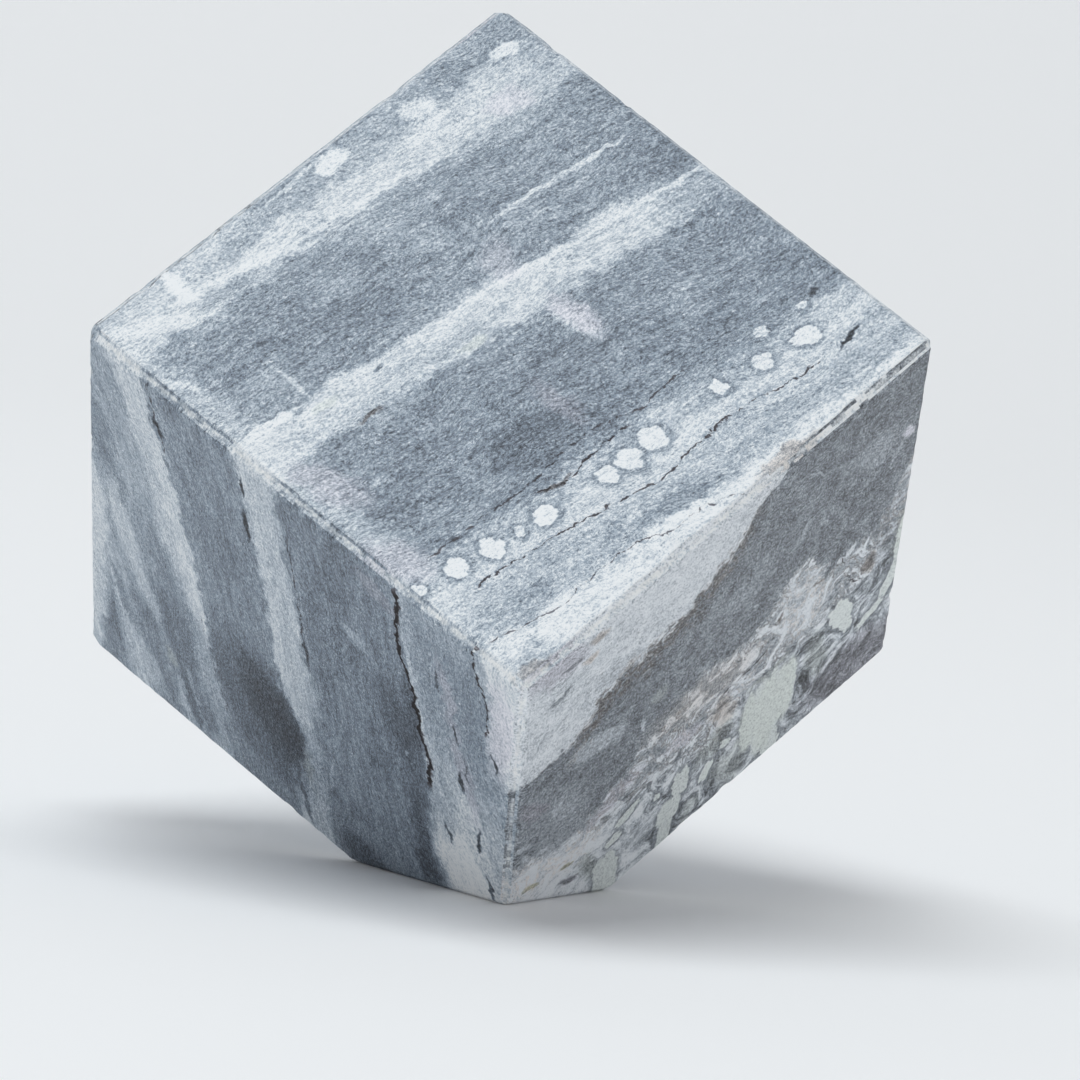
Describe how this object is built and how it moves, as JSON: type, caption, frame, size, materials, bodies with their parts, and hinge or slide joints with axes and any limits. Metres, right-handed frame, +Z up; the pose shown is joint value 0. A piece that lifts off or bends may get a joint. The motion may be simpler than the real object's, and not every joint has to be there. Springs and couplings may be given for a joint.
{
  "type": "marble block",
  "caption": "Honed block of banded blue-grey marble, close to a cube, that stands tilted on one sawn-off corner as an ornament, bookend or paperweight.",
  "frame": {"origin": "centre of the flat foot, where the lost corner was sawn off, on the surface that the block stands on", "axes": "+Z straight up from the surface, -Y towards the edge that leans out over the foot, +X to the right of that edge"},
  "size_m": [0.1428, 0.1626, 0.1523],
  "materials": {
    "marble": "satin"
  },
  "bodies": {
    "root": {"marble_block": "marble"}
  },
  "joints": []
}
